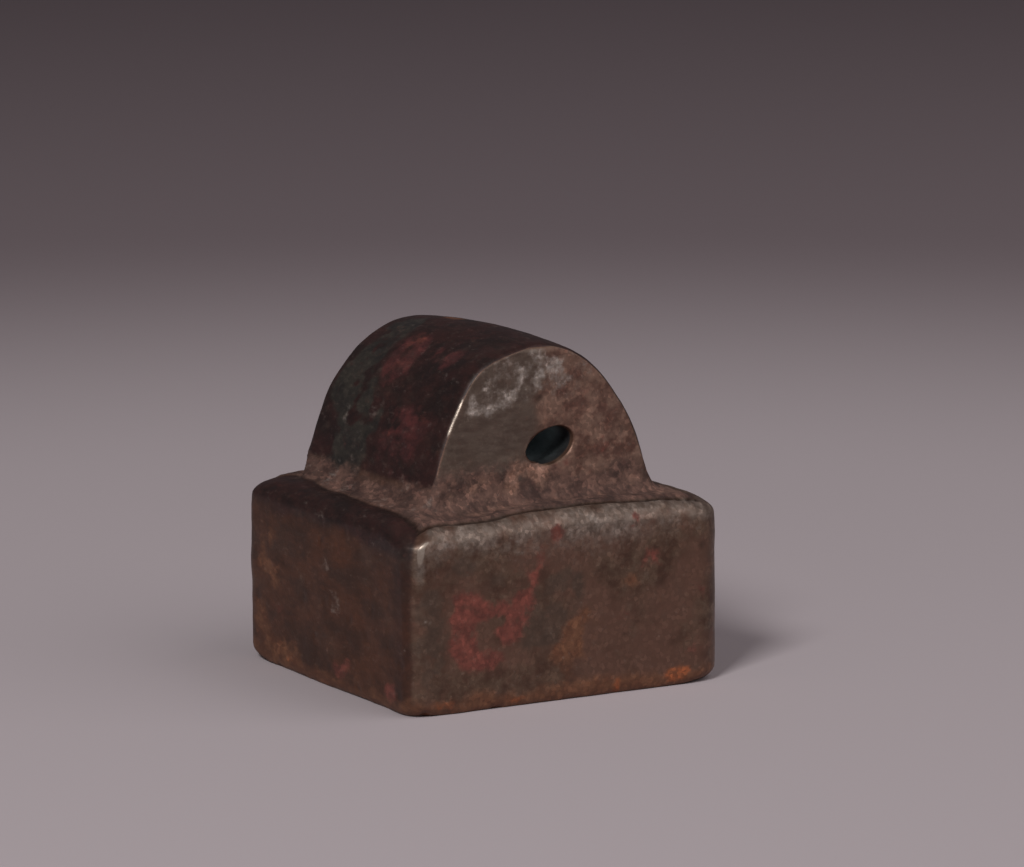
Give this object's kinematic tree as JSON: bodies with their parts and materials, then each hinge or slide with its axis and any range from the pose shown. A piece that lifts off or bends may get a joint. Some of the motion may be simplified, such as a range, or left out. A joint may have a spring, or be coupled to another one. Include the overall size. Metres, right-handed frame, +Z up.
{
  "type": "bronze stamp seal",
  "caption": "Small square cast bronze seal with an arched knob pierced by an oval cord hole and a carved sealing face.",
  "frame": {"origin": "middle of the sealing face, on the surface that the seal stands on", "axes": "+Z up from the sealing face through the knob, Y along the knob and its cord hole, X across them"},
  "size_m": [0.023, 0.0232, 0.0224],
  "materials": {
    "patinated_bronze": "old cast bronze with a dark brown patina, red and orange corrosion patches, fine pits and a satin gloss where worn"
  },
  "bodies": {
    "root": {"seal": "patinated_bronze"}
  },
  "joints": []
}
